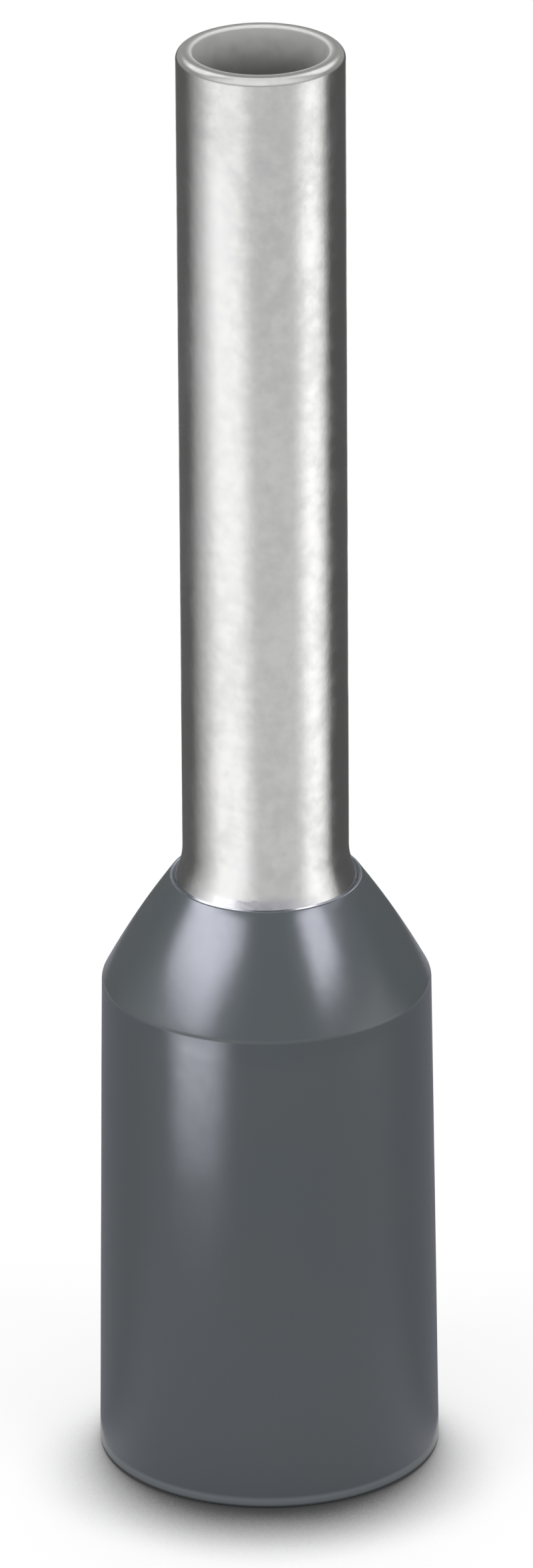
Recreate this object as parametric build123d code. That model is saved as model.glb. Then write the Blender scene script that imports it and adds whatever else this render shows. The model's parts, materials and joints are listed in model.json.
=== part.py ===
from build123d import *
import os
from math import cos, radians, sin, tan

# An insulated wire end ferrule. It stands on the open rim of its collar, with the bare sleeve up.
# The origin is the centre of that rim, and +Z runs up the axis. Lengths are in millimetres, and
# angles in degrees from the axis.

# Metal sleeve: drawn tube, cut square at the top and flared at the bottom
sleeve_bore = 1.25
sleeve_wall = 0.15
barrel_length = 8.18
rim_outer_round = 0.08
rim_inner_round = 0.03

# Flare: the wall bends outwards above the collar's lip and runs on as a straight funnel inside it
flare_rise = 0.31
flare_bend_radius = 0.65
flare_angle = 22.0
funnel_length = 1.09

# Moulded collar: bore, skirt, shoulder with a slight bulge over the straight cone, and lip
collar_length = 5.82
insulation_bore = 2.70
collar_wall = 0.19
collar_draft = 0.78
shoulder_angle = 31.8
shoulder_crown = 0.022
lip_land = 0.05

# Soft edges of the moulding
lip_round = 0.012
shoulder_round = 0.10
mouth_outer_round = 0.05
mouth_inner_round = 0.08

# Worked out from the sizes above
bore_radius = sleeve_bore / 2
barrel_radius = bore_radius + sleeve_wall
overall_length = collar_length + barrel_length
bend_top = collar_length + flare_rise
bend_centre = barrel_radius + flare_bend_radius
flare_turn = radians(flare_angle)
insulation_radius = insulation_bore / 2
shoulder_radius = insulation_radius + collar_wall

# Both pieces are turned forms. Each is drawn as a flat section, with the radius across and the
# height up, and then swept round the axis.


def flare_path(depth):
    """Start, middle and end of the bend, then the funnel's tip, at a depth inside the sleeve's outer face."""
    reach = flare_bend_radius + depth
    start, middle, end = [
        Vector(bend_centre - reach * cos(turn), bend_top - reach * sin(turn))
        for turn in (0, flare_turn / 2, flare_turn)
    ]
    tip = end + Vector(sin(flare_turn), -cos(flare_turn)) * funnel_length
    return start, middle, end, tip


def flare_edges(depth):
    """The bend and the funnel as one line, from the barrel to the tip."""
    start, middle, end, tip = flare_path(depth)
    return ThreePointArc(start, middle, end) + Line(end, tip)


def round_corners(section, corners):
    """The section with each corner, given as a point and a radius, made round."""
    for point, radius in corners:
        corner = section.vertices().sort_by_distance(point)[0]
        section = fillet(corner, radius)
    return section


def sweep_round(section):
    """The solid that a section makes when it is swept round the axis."""
    return revolve(Plane.XZ * section, Axis.Z)


def sleeve_section():
    """The sleeve's wall, of one thickness from the cut rim to the funnel's tip."""
    outer_tip = flare_path(0)[3]
    inner_tip = flare_path(sleeve_wall)[3]
    rim_outside = Vector(barrel_radius, overall_length)
    rim_inside = Vector(bore_radius, overall_length)
    barrel = Polyline((bore_radius, bend_top), rim_inside, rim_outside, (barrel_radius, bend_top))
    wall = make_face(flare_edges(sleeve_wall) + barrel + flare_edges(0) + Line(outer_tip, inner_tip))
    return round_corners(wall, [(rim_outside, rim_outer_round), (rim_inside, rim_inner_round)])


def room_for_sleeve():
    """All that the sleeve fills or surrounds, from the axis out to its outer face."""
    outer_tip = flare_path(0)[3]
    inner_tip = flare_path(sleeve_wall)[3]
    closing = Polyline(
        outer_tip, inner_tip, (0, inner_tip.Y), (0, overall_length), (barrel_radius, overall_length),
        (barrel_radius, bend_top),
    )
    return make_face(flare_edges(0) + closing)


def room_for_wire():
    """The insulation bore, and the entry cone that runs on flush from the inside of the funnel."""
    inner_tip = flare_path(sleeve_wall)[3]
    cone_foot = inner_tip.Y - (insulation_radius - inner_tip.X) / tan(flare_turn)
    return make_face(Polyline(
        (0, 0), (insulation_radius, 0), (insulation_radius, cone_foot), inner_tip, (0, inner_tip.Y), close=True,
    ))


def sleeve_radius_at_lip():
    """Radius of the sleeve's outer face where the lip closes round it, on the bend or on the funnel."""
    bend_drop = flare_bend_radius * sin(flare_turn)
    if flare_rise > bend_drop:
        return flare_path(0)[2].X + (flare_rise - bend_drop) * tan(flare_turn)
    return bend_centre - (flare_bend_radius**2 - flare_rise**2) ** 0.5


def collar_section():
    """The moulding's wall: its outside, less the room for the sleeve and for the wire."""
    lip_radius = sleeve_radius_at_lip() + lip_land
    shoulder_height = collar_length - (shoulder_radius - lip_radius) / tan(radians(shoulder_angle))
    mouth_radius = shoulder_radius + shoulder_height * tan(radians(collar_draft))
    lip = Vector(lip_radius, collar_length)
    shoulder = Vector(shoulder_radius, shoulder_height)
    mouth = Vector(mouth_radius, 0)
    slope = lip - shoulder
    crest = (lip + shoulder) * 0.5 + Vector(slope.Y, -slope.X).normalized() * shoulder_crown
    crowned = ThreePointArc(shoulder, crest, lip)
    outside = make_face(crowned + Polyline(lip, (0, collar_length), (0, 0), mouth, shoulder))
    wall = outside - room_for_sleeve() - room_for_wire()
    return round_corners(wall, [
        (lip, lip_round),
        (shoulder, shoulder_round),
        (mouth, mouth_outer_round),
        (Vector(insulation_radius, 0), mouth_inner_round),
    ])


os.makedirs("parts", exist_ok=True)
export_step(sweep_round(sleeve_section()), "parts/metal_sleeve.step")
export_step(sweep_round(collar_section()), "parts/plastic_collar.step")
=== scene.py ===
import json
from collections import namedtuple
from math import atan, cos, pi, radians, sin

import bmesh
import bpy
from bpy.props import FloatProperty, FloatVectorProperty, PointerProperty
from mathutils import Matrix, Vector


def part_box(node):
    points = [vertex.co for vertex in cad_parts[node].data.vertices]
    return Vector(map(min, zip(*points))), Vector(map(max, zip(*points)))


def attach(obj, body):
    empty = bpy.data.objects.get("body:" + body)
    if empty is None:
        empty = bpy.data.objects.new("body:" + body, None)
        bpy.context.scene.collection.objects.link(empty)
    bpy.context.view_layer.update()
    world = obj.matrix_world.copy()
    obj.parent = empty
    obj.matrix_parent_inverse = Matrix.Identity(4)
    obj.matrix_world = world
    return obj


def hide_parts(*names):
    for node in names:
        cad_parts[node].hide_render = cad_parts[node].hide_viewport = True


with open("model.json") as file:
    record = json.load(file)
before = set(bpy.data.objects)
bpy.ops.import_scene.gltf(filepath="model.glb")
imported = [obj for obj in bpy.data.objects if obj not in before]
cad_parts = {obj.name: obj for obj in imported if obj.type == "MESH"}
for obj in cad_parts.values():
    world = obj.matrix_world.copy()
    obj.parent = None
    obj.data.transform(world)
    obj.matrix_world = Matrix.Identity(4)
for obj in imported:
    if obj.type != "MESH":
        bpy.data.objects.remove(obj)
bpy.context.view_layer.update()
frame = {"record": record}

bl_info = {
    "name": "Wire ferrule",
    "version": (1, 0, 0),
    "blender": (4, 5, 0),
    "location": "3D View > Sidebar > Ferrule",
    "description": "Makes the sleeve and the collar of a wire ferrule, and a studio to see them in",
    "category": "Add Mesh",
}

# Sizes that the frame gives, in metres
mm = 0.001
mounts = {mount["name"]: mount["dims"] for mount in frame["record"]["mounts"]}
bore_radius = mounts["conductor_bore"]["r_mm"] * mm
barrel_radius = mounts["crimp_barrel"]["r_mm"] * mm
insulation_radius = mounts["insulation_bore"]["r_mm"] * mm
sleeve_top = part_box("metal_sleeve")[1].z
collar_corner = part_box("plastic_collar")[1]

# Facets of each mesh round the axis
sleeve_facets = 224
collar_facets = 256

# Settings that a user may change


def length(name, description, value):
    """A property that holds a length in metres."""
    return FloatProperty(name=name, description=description, default=value, min=0, precision=6, unit="LENGTH")


def angle(name, description, degrees):
    """A property that holds an angle, shown in degrees."""
    return FloatProperty(name=name, description=description, default=radians(degrees), unit="ROTATION")


def share(name, description, value):
    """A property that holds a share or a level, which has no unit."""
    return FloatProperty(
        name=name, description=description, default=value, min=0, precision=3, subtype="FACTOR")


def pixels(name, description, value):
    """A property that holds a length in the photograph's pixels."""
    return FloatProperty(name=name, description=description, default=value, subtype="PIXEL")


def colour(name, description, value):
    """A property that holds a linear colour."""
    return FloatVectorProperty(
        name=name, description=description, default=(*value, 1.0), size=4, min=0, max=1, subtype="COLOR")


class FlareSizes(bpy.types.PropertyGroup):
    """Sizes of the tube and its flare, which the collar's seat shares."""

    bore: length("Bore", "Radius of the tube's inside", bore_radius)
    barrel: length("Barrel", "Radius of the tube's outside", barrel_radius)
    lip: length("Lip", "Height of the collar's lip above the floor", collar_corner.z)
    bend_rise: length("Bend rise", "Height above the lip where the flare starts", 0.31 * mm)
    bend: length("Bend", "Radius of the flare's bend, on the tube's outside", 0.65 * mm)
    flare: angle("Flare", "Angle of the funnel from the axis", 22)
    funnel: length("Funnel", "Length of the funnel below the bend", 1.09 * mm)


class SleeveSizes(bpy.types.PropertyGroup):
    """The other sizes of the drawn metal sleeve."""

    top: length("Top", "Height of the cut rim above the floor", sleeve_top)
    rim_outside: length("Rim outside", "Rounding of the rim's outer edge", 0.08 * mm)
    rim_inside: length("Rim inside", "Rounding of the rim's inner edge", 0.03 * mm)
    tip_round: length("Tip round", "Rounding of the funnel's hidden edges", 0.02 * mm)
    relief: length("Relief", "Height of the tumbling marks in the surface", 0.0011 * mm)
    step: length("Step", "Longest step of the mesh along the section", 0.11 * mm)


class CollarSizes(bpy.types.PropertyGroup):
    """The other sizes of the moulded plastic collar."""

    mouth: length("Mouth", "Outer radius at the open rim", collar_corner.x)
    insulation: length("Insulation", "Radius of the bore for the wire's insulation", insulation_radius)
    wall: length("Wall", "Wall of the skirt at the shoulder", 0.19 * mm)
    shoulder: angle("Shoulder", "Angle of the shoulder from the axis", 31.8)
    crown: length("Crown", "How far the shoulder bulges over a straight cone", 0.022 * mm)
    lip_land: length("Lip land", "Width of the lip round the sleeve", 0.05 * mm)
    lip_round: length("Lip round", "Rounding of the lip's edge", 0.012 * mm)
    shoulder_round: length("Shoulder round", "Rounding between shoulder and skirt", 0.10 * mm)
    mouth_outside: length("Mouth outside", "Rounding of the open rim, outside", 0.05 * mm)
    mouth_inside: length("Mouth inside", "Rounding of the open rim, inside", 0.08 * mm)
    relief: length("Relief", "Height of the moulding's slight waves", 0.002 * mm)
    step: length("Step", "Longest step of the mesh along the section", 0.10 * mm)


class Finishes(bpy.types.PropertyGroup):
    """Colours, gloss and fine relief of the two materials."""

    tin: colour("Tin", "Colour of the tin plating", (0.66, 0.66, 0.655))
    tin_dull: colour("Dull tin", "Colour of the plating where it is duller", (0.58, 0.585, 0.58))
    # Painted light and shade inside the tube: pale just under the rim, dark further down
    bore_tin_painted_light: colour("Tin inside", "Colour of the plating just inside the tube", (0.86, 0.86, 0.86))
    bore_tin_painted_shade: colour("Deep tin", "Colour of the plating further inside the tube", (0.4, 0.405, 0.4))
    tin_roughness: share("Tin roughness", "Roughness of the outside of the tube", 0.2)
    bore_roughness: share("Bore roughness", "Roughness of the inside of the tube", 0.66)
    plastic: colour("Plastic", "Colour of the moulded plastic", (0.097, 0.11, 0.116))
    plastic_cool: colour("Cool plastic", "Colour of its slightly cooler clouds", (0.093, 0.108, 0.117))
    # Painted highlight: a paler colour along the rounded edge of the open rim
    plastic_edge: colour("Plastic edge", "Paler colour of the worn edge at the open rim", (0.2, 0.22, 0.235))
    plastic_roughness: share("Plastic roughness", "Roughness of the moulded plastic", 0.21)
    fine_relief: length("Fine relief", "Depth of the drawing lines and of the plastic's skin", 0.0006 * mm)
    tin_relief: length("Tin relief", "Depth of the mottling in the plating", 0.0022 * mm)
    plastic_relief: length("Plastic relief", "Depth of the plastic's slow waves", 0.006 * mm)


class Studio(bpy.types.PropertyGroup):
    """The floor, the lamps and the camera."""

    floor_radius: length("Floor radius", "Radius of the pale floor", 400 * mm)
    floor_grey: share("Floor grey", "Grey of the floor where nothing shades it", 0.45)
    floor_glow: share("Floor glow", "Light of its own that lifts the floor to white", 0.58)
    shade_reach: length("Shade reach", "How far the soft contact shadow spreads", 1.5 * mm)
    shade_lean: angle("Shade lean", "How far the contact shadow leans to the front", 45)
    shade_least: share("Shade least", "Share of the light left where the shadow is deepest", 0.07)
    sky_shaded: share("Sky shaded", "Share of open sky where the shadow is deepest", 0.37)
    sky_open: share("Sky open", "Share of open sky where the shadow ends", 0.87)
    fill: share("Fill", "Level of the even light from all round", 0.75)
    lamp_distance: length("Lamp distance", "Distance of the soft lamps", 60 * mm)
    lamp_side: length("Lamp side", "Side of each square lamp", 30 * mm)
    camera_distance: length("Camera distance", "From the object's middle to the camera", 125 * mm)
    camera_elevation: angle("Camera elevation", "Height of the line of sight above level", 23.5)
    camera_roll: angle("Camera roll", "Turn of the camera about its line of sight", -0.38)
    focal_length: pixels("Focal length", "From the lens to a picture of the photograph's size", 20230)
    middle_left: pixels("Middle left", "How far left of the picture's middle the object's middle lies", 2.1)
    middle_up: pixels("Middle up", "How far above the picture's middle the object's middle lies", 40.3)


# Node trees


class Term:
    """A number that a node tree works out. Sums written with terms become Math nodes."""

    def __init__(self, tree, socket):
        self.tree = tree
        self.socket = socket

    def join(self, operation, *others):
        """The term that a Math node makes of this one and others."""
        made = add_node(self.tree, "ShaderNodeMath", {}, operation=operation)
        for socket, value in zip(made.inputs, (self, *others)):
            fill(self.tree, socket, value)
        return Term(self.tree, made.outputs[0])

    def __add__(self, other):
        return self.join("ADD", other)

    def __sub__(self, other):
        return self.join("SUBTRACT", other)

    def __mul__(self, other):
        return self.join("MULTIPLY", other)

    def __truediv__(self, other):
        return self.join("DIVIDE", other)

    def sin(self):
        return self.join("SINE")

    def cos(self):
        return self.join("COSINE")

    def tan(self):
        return self.join("TANGENT")


def fill(tree, socket, value):
    """Joins a socket to what makes its value, or sets it to a plain one."""
    if isinstance(value, Term):
        value = value.socket
    if isinstance(value, bpy.types.NodeSocket):
        tree.links.new(value, socket)
    else:
        socket.default_value = value


def add_node(tree, kind, inputs, **settings):
    """A new node with its settings, and with its inputs joined or set by name or number."""
    made = tree.nodes.new(kind)
    for name, value in settings.items():
        setattr(made, name, value)
    for key, value in inputs.items():
        fill(tree, made.inputs[key], value)
    return made


def noise(tree, place, scale, detail=2.0, seed=0.0, stretch=(1, 1, 1)):
    """Noise at a place, with 1/scale metres to a cell, drawn out along an axis whose stretch is under 1."""
    spread = add_node(tree, "ShaderNodeVectorMath", {0: place, 1: stretch}, operation="MULTIPLY")
    made = add_node(tree, "ShaderNodeTexNoise", {
        "Vector": spread.outputs[0], "W": seed, "Scale": scale, "Detail": detail,
    }, noise_dimensions="4D")
    return Term(tree, made.outputs[0])


def glide(tree, amount, start, end, low=0.0, high=1.0):
    """Goes smoothly from low to high as an amount goes from start to end."""
    made = add_node(tree, "ShaderNodeMapRange", {
        "Value": amount, "From Min": start, "From Max": end, "To Min": low, "To Max": high,
    }, interpolation_type="SMOOTHSTEP")
    return Term(tree, made.outputs[0])


def size_keys(groups):
    """The keys of all sizes in some groups of settings, each with its group and its shown name."""
    return [
        (key, sizes, sizes.bl_rna.properties[key].name)
        for sizes in groups
        for key in type(sizes).__annotations__
    ]


def new_tree(name, groups):
    """A geometry tree with one named input for each size, and those inputs as terms."""
    tree = bpy.data.node_groups.new(name, "GeometryNodeTree")
    tree.interface.new_socket("Geometry", in_out="OUTPUT", socket_type="NodeSocketGeometry")
    for _, _, shown in size_keys(groups):
        tree.interface.new_socket(shown, in_out="INPUT", socket_type="NodeSocketFloat")
    source = tree.nodes.new("NodeGroupInput")
    return tree, {key: Term(tree, source.outputs[shown]) for key, _, shown in size_keys(groups)}


def point(tree, across, up):
    """A point of a flat section at a radius and a height. Heights run down, as the sweep turns them over."""
    return add_node(tree, "ShaderNodeCombineXYZ", {"X": across, "Y": up * -1}).outputs[0]


def pick(tree, kind, values):
    """A field that gives each corner, by its number, its own value."""
    corner = add_node(tree, "GeometryNodeInputIndex", {}).outputs[0]
    switch = add_node(tree, "GeometryNodeIndexSwitch", {"Index": corner}, data_type=kind)
    while len(switch.index_switch_items) < len(values):
        switch.index_switch_items.new()
    for number, value in enumerate(values):
        fill(tree, switch.inputs[str(number)], value)
    return switch.outputs[0]


def cuts(tree, step):
    """How many cuts bring each run of a closed curve down to the step."""
    here = add_node(tree, "GeometryNodeInputPosition", {}).outputs[0]
    after = add_node(tree, "GeometryNodeOffsetPointInCurve", {"Offset": 1}).outputs["Point Index"]
    there = add_node(tree, "GeometryNodeFieldAtIndex", {"Index": after}, data_type="FLOAT_VECTOR")
    fill(tree, there.inputs["Value"], here)
    run = add_node(tree, "ShaderNodeVectorMath", {0: here, 1: there.outputs[0]}, operation="DISTANCE")
    return Term(tree, run.outputs["Value"]) / step


def section(tree, corners, step):
    """A closed section from its corners, each a radius, a height, a rounding and its number of facets."""
    line = add_node(tree, "GeometryNodeMeshLine", {"Count": len(corners)})
    curve = add_node(tree, "GeometryNodeMeshToCurve", {"Mesh": line.outputs[0]})
    closed = add_node(tree, "GeometryNodeSetSplineCyclic", {"Geometry": curve.outputs[0], "Cyclic": True})
    places = pick(tree, "VECTOR", [point(tree, across, up) for across, up, _, _ in corners])
    placed = add_node(tree, "GeometryNodeSetPosition", {"Geometry": closed.outputs[0], "Position": places})
    rounded = add_node(tree, "GeometryNodeFilletCurve", {
        "Curve": placed.outputs[0],
        "Count": pick(tree, "INT", [facets for _, _, _, facets in corners]),
        "Radius": pick(tree, "FLOAT", [rounding for _, _, rounding, _ in corners]),
    }, mode="POLY")
    stepped = add_node(tree, "GeometryNodeSubdivideCurve", {
        "Curve": rounded.outputs[0], "Cuts": cuts(tree, step),
    })
    return stepped.outputs[0]


def turn_round(tree, outline, path_radius, facets):
    """Sweeps a section round the axis, along a circle that the section is first moved back by."""
    path = add_node(tree, "GeometryNodeCurvePrimitiveCircle", {"Resolution": facets, "Radius": path_radius})
    moved = add_node(tree, "GeometryNodeSetPosition", {
        "Geometry": outline, "Offset": point(tree, path_radius * -1, 0.0),
    })
    swept = add_node(tree, "GeometryNodeCurveToMesh", {
        "Curve": path.outputs[0], "Profile Curve": moved.outputs[0],
    })
    merged = add_node(tree, "GeometryNodeMergeByDistance", {
        "Geometry": swept.outputs[0], "Distance": 0.0001 * mm,
    })
    return merged.outputs[0]


def push(tree, mesh, amount):
    """Moves a surface along its normal by an amount."""
    normal = add_node(tree, "GeometryNodeInputNormal", {}).outputs[0]
    offset = add_node(tree, "ShaderNodeVectorMath", {0: normal, "Scale": amount}, operation="SCALE")
    moved = add_node(tree, "GeometryNodeSetPosition", {"Geometry": mesh, "Offset": offset.outputs[0]})
    return moved.outputs[0]


def end_tree(tree, mesh, material):
    """Ends a tree in one plain mesh with its material."""
    smooth = add_node(tree, "GeometryNodeSetShadeSmooth", {"Geometry": mesh})
    plain = add_node(tree, "GeometryNodeRealizeInstances", {"Geometry": smooth.outputs[0]})
    painted = add_node(tree, "GeometryNodeSetMaterial", {"Geometry": plain.outputs[0], "Material": material})
    end = tree.nodes.new("NodeGroupOutput")
    tree.links.new(painted.outputs[0], end.inputs["Geometry"])


def piece_from_tree(name, tree, groups):
    """Runs a tree with its sizes and keeps the result as a plain mesh object."""
    made = bpy.data.objects.new(name, bpy.data.meshes.new(name))
    bpy.context.scene.collection.objects.link(made)
    modifier = made.modifiers.new(tree.name, "NODES")
    modifier.node_group = tree
    for key, sizes, shown in size_keys(groups):
        modifier[tree.interface.items_tree[shown].identifier] = getattr(sizes, key)
    scene_now = bpy.context.evaluated_depsgraph_get()
    mesh = bpy.data.meshes.new_from_object(made.evaluated_get(scene_now))
    made.modifiers.clear()
    made.data = mesh
    return made


# Materials


def new_material(name):
    """A material with its tree, its shader and the place on the object that its patterns read."""
    material = bpy.data.materials.new(name)
    material.use_nodes = True
    tree = material.node_tree
    place = add_node(tree, "ShaderNodeTexCoord", {}).outputs["Object"]
    return material, tree, tree.nodes["Principled BSDF"], place


def blend(tree, amount, low, high):
    """Mixes two colours by an amount."""
    mix = add_node(tree, "ShaderNodeMix", {"Factor": amount}, data_type="RGBA")
    low_socket, high_socket = [socket for socket in mix.inputs if socket.type == "RGBA"]
    fill(tree, low_socket, low)
    fill(tree, high_socket, high)
    return next(socket for socket in mix.outputs if socket.type == "RGBA")


def bump(tree, height, depth, below=None):
    """The normal of a relief, laid over the one below it."""
    made = add_node(tree, "ShaderNodeBump", {"Height": height, "Distance": depth})
    if below:
        fill(tree, made.inputs["Normal"], below)
    return made.outputs[0]


def distance_from_axis(tree, place):
    """How far a place is from the upright axis."""
    flat = add_node(tree, "ShaderNodeVectorMath", {0: place, 1: (1, 1, 0)}, operation="MULTIPLY")
    reach = add_node(tree, "ShaderNodeVectorMath", {0: flat.outputs[0]}, operation="LENGTH")
    return Term(tree, reach.outputs["Value"])


def tinned_metal(finishes, flare):
    """Tin plating: drawing lines along the tube, mottling from tumbling, a rougher inside, and painted light
    and shade inside the tube, pale just under the rim and dark further down.
    """
    material, tree, shader, place = new_material("tin_plating")
    mottle = noise(tree, place, 7000, detail=3, seed=3)
    patches = noise(tree, place, 1600, detail=2, seed=11)
    lines = noise(tree, place, 26000, detail=2, seed=5, stretch=(1, 1, 0.03))
    specks = noise(tree, place, 30000, detail=2, seed=8)
    dullness = glide(tree, mottle * 0.6 + patches * 0.4, 0.35, 0.65)
    middle_of_wall = (flare.bore + flare.barrel) / 2
    inside = glide(tree, distance_from_axis(tree, place), flare.bore, middle_of_wall, 1, 0)
    height = add_node(tree, "ShaderNodeSeparateXYZ", {"Vector": place}).outputs["Z"]
    # Painted shade in the bore: from the pale colour just under the rim to the dark one further in
    depth = glide(tree, height, sleeve_top - 0.5 * mm, sleeve_top - 0.12 * mm, 1, 0)
    outside_colour = blend(tree, dullness, finishes.tin, finishes.tin_dull)
    bore_colour_painted_shading = blend(tree, depth, finishes.bore_tin_painted_light, finishes.bore_tin_painted_shade)
    fill(tree, shader.inputs["Base Color"], blend(tree, inside, outside_colour, bore_colour_painted_shading))
    uneven = glide(tree, dullness, 0, 1, finishes.tin_roughness - 0.04, finishes.tin_roughness + 0.05)
    roughness = uneven + inside * (finishes.bore_roughness - finishes.tin_roughness)
    fill(tree, shader.inputs["Roughness"], roughness)
    fill(tree, shader.inputs["Metallic"], 1.0)
    fine = bump(tree, lines * 0.5 + specks * 0.5, finishes.fine_relief)
    fill(tree, shader.inputs["Normal"], bump(tree, mottle, finishes.tin_relief, fine))
    return material


def grey_plastic(finishes):
    """Half glossy moulded plastic: faint clouds in the colour, a fine skin, uneven gloss, and a painted
    highlight that makes the open rim's rounded edge paler.
    """
    material, tree, shader, place = new_material("moulded_plastic")
    clouds = noise(tree, place, 700, detail=3, seed=2)
    skin = noise(tree, place, 14000, detail=3, seed=7)
    waves = noise(tree, place, 1100, detail=1, seed=13)
    cool = glide(tree, clouds, 0.35, 0.65)
    height = add_node(tree, "ShaderNodeSeparateXYZ", {"Vector": place}).outputs["Z"]
    # Painted highlight along the open rim's rounded edge, where a light line falls
    painted_highlight = glide(tree, height, 0.02 * mm, 0.06 * mm) * glide(tree, height, 0.09 * mm, 0.14 * mm, 1, 0)
    even_colour = blend(tree, cool, finishes.plastic, finishes.plastic_cool)
    fill(tree, shader.inputs["Base Color"], blend(tree, painted_highlight, even_colour, finishes.plastic_edge))
    uneven = glide(tree, clouds * 0.5 + skin * 0.5, 0.3, 0.7, -0.03, 0.03)
    fill(tree, shader.inputs["Roughness"], uneven + finishes.plastic_roughness)
    fill(tree, shader.inputs["IOR"], 1.49)
    fine = bump(tree, skin, finishes.fine_relief)
    fill(tree, shader.inputs["Normal"], bump(tree, waves, finishes.plastic_relief, fine))
    return material


# The two pieces


def flare_line(sizes, depth):
    """The flare at a depth inside its outer face: start radius, bend, corner height, and the funnel's tip."""
    start = sizes["barrel"] - depth
    bend = sizes["bend"] + depth
    reach = bend * (sizes["flare"] * 0.5).tan()
    corner = sizes["lip"] + sizes["bend_rise"] - reach
    run = reach + sizes["funnel"]
    tip = start + sizes["flare"].sin() * run
    tip_height = corner - sizes["flare"].cos() * run
    return start, bend, corner, tip, tip_height


def sleeve_tree(groups, material):
    """The tube's wall, from its cut rim down to the funnel's tip, swept round the axis."""
    tree, sizes = new_tree("Drawn sleeve", groups)
    wall = sizes["barrel"] - sizes["bore"]
    barrel, outer_bend, outer_corner, outer_tip, outer_tip_height = flare_line(sizes, 0.0)
    bore, inner_bend, inner_corner, inner_tip, inner_tip_height = flare_line(sizes, wall)
    outline = section(tree, [
        (barrel, sizes["top"], sizes["rim_outside"], 8),
        (barrel, outer_corner, outer_bend, 14),
        (outer_tip, outer_tip_height, sizes["tip_round"], 3),
        (inner_tip, inner_tip_height, sizes["tip_round"], 3),
        (bore, inner_corner, inner_bend, 14),
        (bore, sizes["top"], sizes["rim_inside"], 6),
    ], sizes["step"])
    mesh = turn_round(tree, outline, sizes["bore"], sleeve_facets)
    place = add_node(tree, "GeometryNodeInputPosition", {}).outputs[0]
    marks = noise(tree, place, 2200, detail=2, seed=21) - 0.5
    end_tree(tree, push(tree, mesh, marks * sizes["relief"] * 2), material)
    return tree


def crowned(sizes, lip, shoulder, shoulder_height):
    """Radius, height and rounding of the corner whose wide rounding gives the shoulder its bulge."""
    rounded_share = 0.85
    chord = (shoulder - lip) / sizes["shoulder"].sin()
    over_cone = sizes["crown"] * (2 / (2 - rounded_share))
    crest = (shoulder + lip) * 0.5 + sizes["shoulder"].cos() * over_cone
    crest_height = (shoulder_height + sizes["lip"]) * 0.5 + sizes["shoulder"].sin() * over_cone
    bulge = chord * chord / sizes["crown"] * (rounded_share * (2 - rounded_share) / 8)
    return crest, crest_height, bulge


def collar_tree(groups, material):
    """The collar's wall: skirt, shoulder and lip outside, and the sleeve's seat and the bore inside."""
    tree, sizes = new_tree("Moulded collar", groups)
    barrel, _, outer_corner, outer_tip, outer_tip_height = flare_line(sizes, 0.0)
    _, _, _, inner_tip, inner_tip_height = flare_line(sizes, sizes["barrel"] - sizes["bore"])
    seat = barrel + (outer_corner - sizes["lip"]) * sizes["flare"].tan()
    foot = inner_tip_height - (sizes["insulation"] - inner_tip) / sizes["flare"].tan()
    lip = seat + sizes["lip_land"]
    shoulder = sizes["insulation"] + sizes["wall"]
    shoulder_height = sizes["lip"] - (shoulder - lip) / sizes["shoulder"].tan()
    crest, crest_height, bulge = crowned(sizes, lip, shoulder, shoulder_height)
    outline = section(tree, [
        (seat, sizes["lip"], 0.0, 1),
        (lip, sizes["lip"], sizes["lip_round"], 4),
        (crest, crest_height, bulge, 12),
        (shoulder, shoulder_height, sizes["shoulder_round"], 8),
        (sizes["mouth"], 0.0, sizes["mouth_outside"], 6),
        (sizes["insulation"], 0.0, sizes["mouth_inside"], 6),
        (sizes["insulation"], foot, 0.0, 1),
        (inner_tip, inner_tip_height, 0.0, 1),
        (outer_tip, outer_tip_height, 0.0, 1),
    ], sizes["step"])
    mesh = turn_round(tree, outline, sizes["insulation"], collar_facets)
    place = add_node(tree, "GeometryNodeInputPosition", {}).outputs[0]
    waves = noise(tree, place, 700, detail=1, seed=4) - 0.5
    end_tree(tree, push(tree, mesh, waves * sizes["relief"] * 2), material)
    return tree


def fit_piece(piece, node):
    """Lets a piece stand for its CAD node on the part's one body."""
    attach(piece, "root")
    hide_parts(node)


class FERRULE_OT_sleeve(bpy.types.Operator):
    """Makes the drawn and tinned metal sleeve"""

    bl_idname = "ferrule.sleeve"
    bl_label = "Metal sleeve"

    def execute(self, context):
        scene = context.scene
        groups = (scene.ferrule_flare, scene.ferrule_sleeve)
        tree = sleeve_tree(groups, tinned_metal(scene.ferrule_finishes, scene.ferrule_flare))
        fit_piece(piece_from_tree("drawn_sleeve", tree, groups), "metal_sleeve")
        return {"FINISHED"}


class FERRULE_OT_collar(bpy.types.Operator):
    """Makes the moulded plastic collar"""

    bl_idname = "ferrule.collar"
    bl_label = "Plastic collar"

    def execute(self, context):
        scene = context.scene
        groups = (scene.ferrule_flare, scene.ferrule_collar)
        tree = collar_tree(groups, grey_plastic(scene.ferrule_finishes))
        fit_piece(piece_from_tree("moulded_collar", tree, groups), "plastic_collar")
        return {"FINISHED"}


# The studio. Azimuths are turned from the camera's side, with the right side positive.


def plain_tree(material):
    """A material's tree, emptied, and its output."""
    material.use_nodes = True
    tree = material.node_tree
    tree.nodes.clear()
    return tree, tree.nodes.new("ShaderNodeOutputMaterial")


def seen_directly(tree):
    """One for the camera and for mirrored and refracted rays, and nought for the rays that light things."""
    path = add_node(tree, "ShaderNodeLightPath", {})
    camera = Term(tree, path.outputs["Is Camera Ray"])
    mirrored = Term(tree, path.outputs["Is Glossy Ray"])
    return camera.join("MAXIMUM", mirrored).join("MAXIMUM", Term(tree, path.outputs["Is Transmission Ray"]))


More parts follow.
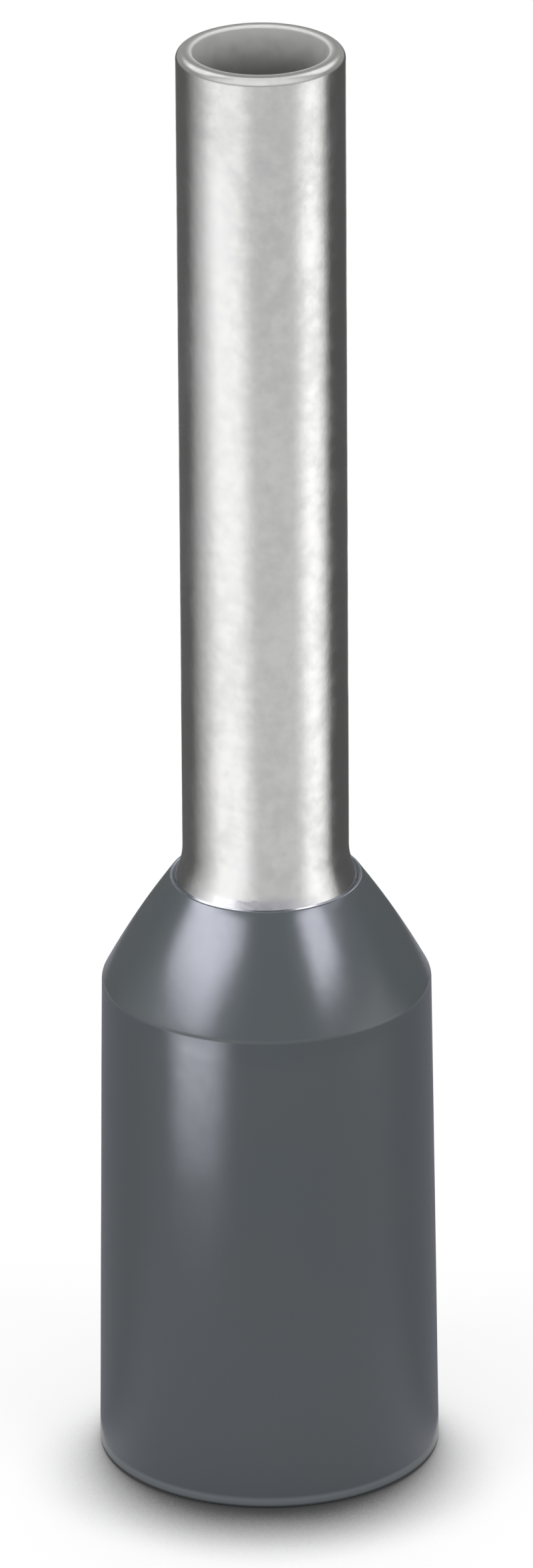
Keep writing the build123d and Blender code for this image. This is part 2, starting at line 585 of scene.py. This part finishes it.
def floor_material(studio):
    """A pale floor that is white where nothing shades it, with a soft shadow under the object: the lamps'
    real shadow, deepened by a shadow painted from ambient occlusion into the floor's grey and its glow.
    """
    material = bpy.data.materials.new("pale_floor")
    tree, output = plain_tree(material)
    lean = add_node(tree, "ShaderNodeCombineXYZ", {"Y": sin(studio.shade_lean), "Z": cos(studio.shade_lean)})
    open_sky = add_node(tree, "ShaderNodeAmbientOcclusion", {
        "Distance": studio.shade_reach, "Normal": lean.outputs[0],
    }, samples=16)
    openness = Term(tree, open_sky.outputs["AO"])
    # Painted shadow: ambient occlusion darkens both the floor's grey and its glow near the object
    light = glide(tree, openness, studio.sky_shaded, studio.sky_open, studio.shade_least, 1.0)
    shade = light * studio.floor_grey
    grey = add_node(tree, "ShaderNodeCombineXYZ", {"X": shade, "Y": shade, "Z": shade})
    lit = add_node(tree, "ShaderNodeBsdfDiffuse", {"Color": grey.outputs[0]})
    glow = light * studio.floor_glow * seen_directly(tree)
    lift = add_node(tree, "ShaderNodeEmission", {"Color": (1, 1, 1, 1), "Strength": glow})
    both = add_node(tree, "ShaderNodeAddShader", {0: lit.outputs[0], 1: lift.outputs[0]})
    tree.links.new(both.outputs[0], output.inputs["Surface"])
    return material


def add_floor(studio):
    """A round pale floor under the object."""
    shape = bmesh.new()
    bmesh.ops.create_circle(shape, cap_ends=True, radius=studio.floor_radius, segments=96)
    mesh = bpy.data.meshes.new("floor")
    shape.to_mesh(mesh)
    shape.free()
    mesh.materials.append(floor_material(studio))
    floor = bpy.data.objects.new("floor", mesh)
    bpy.context.scene.collection.objects.link(floor)


def light_all_round(studio):
    """A white surround, which lights the object at the fill level."""
    world = bpy.data.worlds.new("white_surround")
    world.use_nodes = True
    tree = world.node_tree
    background = tree.nodes["Background"]
    direct = seen_directly(tree)
    fill(tree, background.inputs["Color"], (1, 1, 1, 1))
    fill(tree, background.inputs["Strength"], direct * (1 - studio.fill) + studio.fill)
    bpy.context.scene.world = world


def towards(azimuth, elevation, distance):
    """A place at an azimuth and an elevation in degrees, and at a distance from the axis's foot."""
    turn = radians(azimuth)
    rise = radians(elevation)
    return Vector((sin(turn) * cos(rise), -cos(turn) * cos(rise), sin(rise))) * distance


# Each soft lamp: name, azimuth, elevation and radiance
lamps = (
    ("left_lamp", -60, 40, 2.4),
    ("right_lamp", 50, 42, 2.0),
    ("back_lamp", 175, 50, 1.6),
)


def add_lamps(studio):
    """Square soft lamps that light the object's body colour. The cards give what it mirrors."""
    middle = Vector((0, 0, sleeve_top / 2))
    for name, azimuth, elevation, radiance in lamps:
        light = bpy.data.lights.new(name, "AREA")
        light.size = studio.lamp_side
        light.energy = pi * radiance * studio.lamp_side**2
        lamp = bpy.data.objects.new(name, light)
        lamp.location = middle + towards(azimuth, elevation, studio.lamp_distance)
        lamp.rotation_euler = (middle - lamp.location).to_track_quat("-Z", "Y").to_euler()
        lamp.visible_camera = False
        lamp.visible_glossy = False
        bpy.context.scene.collection.objects.link(lamp)


# Each card lies on a ring round the object, and has the azimuth of its middle, half of its width at its
# near and far end, the softness of its sides, where it starts and stops along the ring, the softness of
# those ends, and its radiance. Widths are in degrees and lengths in millimetres. Later cards lie over
# earlier ones.
Card = namedtuple("Card", "azimuth near_width far_width side_softness start stop end_softness radiance")

# What the sleeve mirrors: an upright ring
sleeve_cards = (
    Card(-151, 52, 52, 44, -5, 20, 1, 0.13),
    Card(148, 53, 53, 24, -5, 20, 1, 0.11),
    Card(-47, 25, 25, 30, -5, 20, 1, 1.42),
    Card(-47, 25, 25, 30, 8.2, 20, 2, 1.28),
    Card(69, 16, 16, 30, -5, 20, 1, 1.60),
    Card(180, 14, 14, 16, -5, 20, 1, 1.0),
)

# What the sleeve's foot mirrors: a narrow upright ring that also keeps the skirt's bright card off the tube
foot_cards = (
    Card(-145, 52, 52, 44, -5, 20, 1, 0.13),
    Card(143, 53, 53, 24, -5, 20, 1, 0.11),
    Card(-45, 25, 25, 30, -5, 20, 1, 1.42),
    Card(67, 16, 16, 30, -5, 20, 1, 1.55),
    Card(180, 14, 14, 16, -5, 20, 1, 1.0),
)

# What the sleeve's top mirrors: a narrow upright ring that also keeps the bright cards below off the rim
rim_cards = (
    Card(-145, 52, 52, 44, -5, 40, 1, 0.13),
    Card(143, 53, 53, 24, -5, 40, 1, 0.11),
    Card(-45, 25, 25, 30, -5, 40, 1, 1.30),
    Card(67, 16, 16, 30, -5, 40, 1, 1.50),
    Card(180, 14, 14, 16, -5, 40, 1, 1.0),
    Card(0, 200, 200, 10, 13.6, 40, 0.8, 0.42),
    Card(-120, 32, 32, 30, 16.5, 40, 1.2, 1.35),
    Card(120, 32, 32, 30, 16.5, 40, 1.2, 1.35),
    Card(0, 70, 70, 60, 14.5, 40, 1.5, 1.1),
)

# What the shoulder mirrors: a second wide upright ring above the first
shoulder_cards = (
    Card(0, 80, 80, 40, -5, 10.2, 1.2, 0.8),
    Card(180, 60, 60, 40, -5, 40, 1, 0.20),
    Card(-68, 24, 42, 22, 10.2, 18, 1.0, 8.0),
    Card(-68, 24, 42, 24, 12.2, 18, 3.0, 14.5),
    Card(85, 30, 30, 40, 12.8, 19, 2.5, 3.2),
    Card(56, 14, 17, 14, 12.5, 19, 0.5, 13.0),
    Card(170, 14, 18, 16, 12.6, 19, 1.2, 6.0),
)

# What the rounding between shoulder and skirt mirrors: a narrow low ring
edge_cards = (
    Card(-38, 15, 15, 16, -5, 20, 1, 6.5),
)

# What the skirt mirrors: a flat ring on the floor, with places along it counted from the axis
skirt_cards = (
    Card(0, 200, 200, 10, -5, 6, 4, 0.65),
    Card(-125, 40, 40, 30, -5, 20, 1, 0.25),
    Card(125, 40, 40, 30, -5, 20, 1, 0.25),
    Card(-46, 15, 15, 20, 9.6, 14, 0.8, 3.2),
    Card(-46, 15, 15, 20, 10.7, 14, 1.0, 12.0),
)

# The two tints of the cards
near_white = (0.97, 0.965, 0.955)
cool_white = (0.89, 0.88, 1.0)

# Each ring has a name, its cards, their tint and the level between them, then its radius and its height at
# its low and high end in millimetres, and whether its cards are placed by height or by radius
Ring = namedtuple("Ring", "name cards tint base low_radius high_radius low high by_height")

rings = (
    Ring("sleeve_cards", sleeve_cards, near_white, 0.8, 13, 13, 0, 9.5, True),
    Ring("rim_cards", rim_cards, near_white, 0.8, 5, 5, 12.2, 24, True),
    Ring("foot_cards", foot_cards, near_white, 0.8, 5, 5, 3.4, 5.6, True),
    Ring("shoulder_cards", shoulder_cards, cool_white, 0.28, 13, 13, 9.5, 25.5, True),
    Ring("edge_cards", edge_cards, cool_white, 0.45, 3.2, 3.2, 3.95, 4.45, True),
    Ring("skirt_cards", skirt_cards, cool_white, 0.52, 1.7, 13, 0.02, 0.02, False),
)


def card_material(plan):
    """The tinted light of the cards on one ring, over the ring's own base level."""
    material = bpy.data.materials.new(plan.name)
    tree, output = plain_tree(material)
    place = add_node(tree, "ShaderNodeTexCoord", {}).outputs["Object"]
    axes = add_node(tree, "ShaderNodeSeparateXYZ", {"Vector": place}).outputs
    right = Term(tree, axes["X"])
    front = Term(tree, axes["Y"]) * -1
    reach = distance_from_axis(tree, place)
    along = Term(tree, axes["Z"]) if plan.by_height else reach
    level = plan.base
    for card in plan.cards:
        turn = radians(card.azimuth)
        start, stop = card.start * mm, card.stop * mm
        apart = ((right * sin(turn) + front * cos(turn)) / reach).join("ARCCOSINE")
        width = glide(tree, along, start, stop, radians(card.near_width), radians(card.far_width))
        softness = radians(card.side_softness) / 2
        side = glide(tree, apart - width, -softness, softness, 1, 0)
        end_softness = card.end_softness * mm / 2
        rise = glide(tree, along, start - end_softness, start + end_softness)
        fall = glide(tree, along, stop - end_softness, stop + end_softness, 1, 0)
        cover = side * rise * fall
        level = (cover * -1 + 1) * level + cover * card.radiance
    glow = add_node(tree, "ShaderNodeEmission", {"Color": (*plan.tint, 1.0), "Strength": level})
    tree.links.new(glow.outputs[0], output.inputs["Surface"])
    material.cycles.emission_sampling = "NONE"
    return material


def add_ring(plan):
    """A ring of cards that only mirrors see."""
    low = plan.low * mm
    high = plan.high * mm
    shape = bmesh.new()
    bmesh.ops.create_cone(
        shape, cap_ends=False, radius1=plan.low_radius * mm, radius2=plan.high_radius * mm,
        depth=high - low, segments=96)
    bmesh.ops.translate(shape, vec=(0, 0, (low + high) / 2), verts=shape.verts)
    mesh = bpy.data.meshes.new(plan.name)
    shape.to_mesh(mesh)
    shape.free()
    mesh.materials.append(card_material(plan))
    ring = bpy.data.objects.new(plan.name, mesh)
    bpy.context.scene.collection.objects.link(ring)
    ring.visible_camera = False
    ring.visible_diffuse = False
    ring.visible_transmission = False
    ring.visible_volume_scatter = False
    ring.visible_shadow = False


def add_cards():
    """The rings of cards that give the metal its bands and the plastic its highlights."""
    for plan in rings:
        add_ring(plan)


def add_camera(studio):
    """The camera on the photograph's line of sight, with the object's middle where the photograph has it."""
    photo_height = 2355
    camera = bpy.data.cameras.new("camera")
    camera.lens = studio.focal_length * camera.sensor_width / photo_height
    camera.clip_start = studio.camera_distance / 10
    camera.clip_end = studio.camera_distance * 20
    middle = Vector((0, 0, sleeve_top / 2))
    elevation = studio.camera_elevation
    place = middle + Vector((0, -cos(elevation), sin(elevation))) * studio.camera_distance
    level_view = Matrix.Rotation(pi / 2 - elevation, 4, "X")
    roll = Matrix.Rotation(studio.camera_roll, 4, "Z")
    lower = Matrix.Rotation(-atan(studio.middle_up / studio.focal_length), 4, "X")
    aside = Matrix.Rotation(-atan(studio.middle_left / studio.focal_length), 4, "Y")
    stand = bpy.data.objects.new("camera", camera)
    stand.matrix_world = Matrix.Translation(place) @ level_view @ roll @ lower @ aside
    bpy.context.scene.collection.objects.link(stand)
    bpy.context.scene.camera = stand


class FERRULE_OT_studio(bpy.types.Operator):
    """Makes the floor, the surround, the lamps, the cards and the camera"""

    bl_idname = "ferrule.studio"
    bl_label = "Studio"

    def execute(self, context):
        studio = context.scene.ferrule_studio
        add_floor(studio)
        light_all_round(studio)
        add_lamps(studio)
        add_cards()
        add_camera(studio)
        context.scene.view_settings.view_transform = "Standard"
        return {"FINISHED"}


class FERRULE_PT_panel(bpy.types.Panel):
    """Lists the steps that make the ferrule"""

    bl_label = "Wire ferrule"
    bl_idname = "FERRULE_PT_panel"
    bl_space_type = "VIEW_3D"
    bl_region_type = "UI"
    bl_category = "Ferrule"

    def draw(self, context):
        for operator in operators:
            self.layout.operator(operator.bl_idname)
        for name in settings:
            group = getattr(context.scene, name)
            box = self.layout.box()
            for key in type(group).__annotations__:
                box.prop(group, key)


operators = (FERRULE_OT_sleeve, FERRULE_OT_collar, FERRULE_OT_studio)
settings = {
    "ferrule_flare": FlareSizes,
    "ferrule_sleeve": SleeveSizes,
    "ferrule_collar": CollarSizes,
    "ferrule_finishes": Finishes,
    "ferrule_studio": Studio,
}


def register():
    """Makes the settings, the operators and the panel known to Blender."""
    for kind in (*settings.values(), *operators, FERRULE_PT_panel):
        bpy.utils.register_class(kind)
    for name, kind in settings.items():
        setattr(bpy.types.Scene, name, PointerProperty(type=kind))


def unregister():
    """Takes them away again."""
    for name in settings:
        delattr(bpy.types.Scene, name)
    for kind in (FERRULE_PT_panel, *reversed(operators), *reversed(settings.values())):
        bpy.utils.unregister_class(kind)


def main():
    """Builds both pieces and the studio."""
    register()
    bpy.ops.ferrule.sleeve()
    bpy.ops.ferrule.collar()
    bpy.ops.ferrule.studio()


if __name__ == "__main__":
    main()
